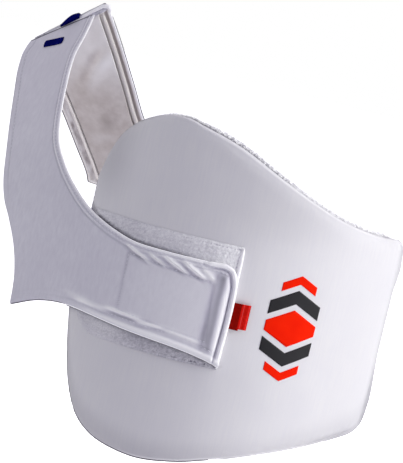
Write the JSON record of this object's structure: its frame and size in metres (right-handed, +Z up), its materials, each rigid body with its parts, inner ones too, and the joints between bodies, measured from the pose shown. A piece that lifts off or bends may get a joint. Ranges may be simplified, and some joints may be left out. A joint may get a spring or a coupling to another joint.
{
  "type": "cricket chest guard",
  "caption": "Curved padded guard for a batter's chest and side, with a towelling back, held by a fabric yoke over one shoulder that closes on the pad with hook and loop.",
  "frame": {"origin": "seat under the middle of the shoulder fold, where the yoke sits on the wearer's right shoulder", "axes": "+Z up, -Y the way the wearer faces, +X towards the wearer's left side, which the pad covers"},
  "size_m": [0.3585, 0.2541, 0.3383],
  "materials": {
    "pad_cover": "smooth white cover cloth over foam",
    "towelling": "looped cotton towelling",
    "loop_pile": "napped loop fastener",
    "hook_tape": "hook fastener tape",
    "yoke_fabric": "white knitted elastic cloth, hemmed",
    "lining": "cream brushed lining",
    "red_webbing": "folded woven tape",
    "navy_tape": "woven tape"
  },
  "bodies": {
    "root": {"pad_body": "pad_cover", "towel_backing": "towelling", "loop_patch": "loop_pile", "hook_patch": "hook_tape", "front_panel": "yoke_fabric", "back_panel": "yoke_fabric", "back_lining": "lining", "red_tab": "red_webbing", "navy_tab_front": "navy_tape", "navy_tab_top": "navy_tape"}
  },
  "joints": []
}
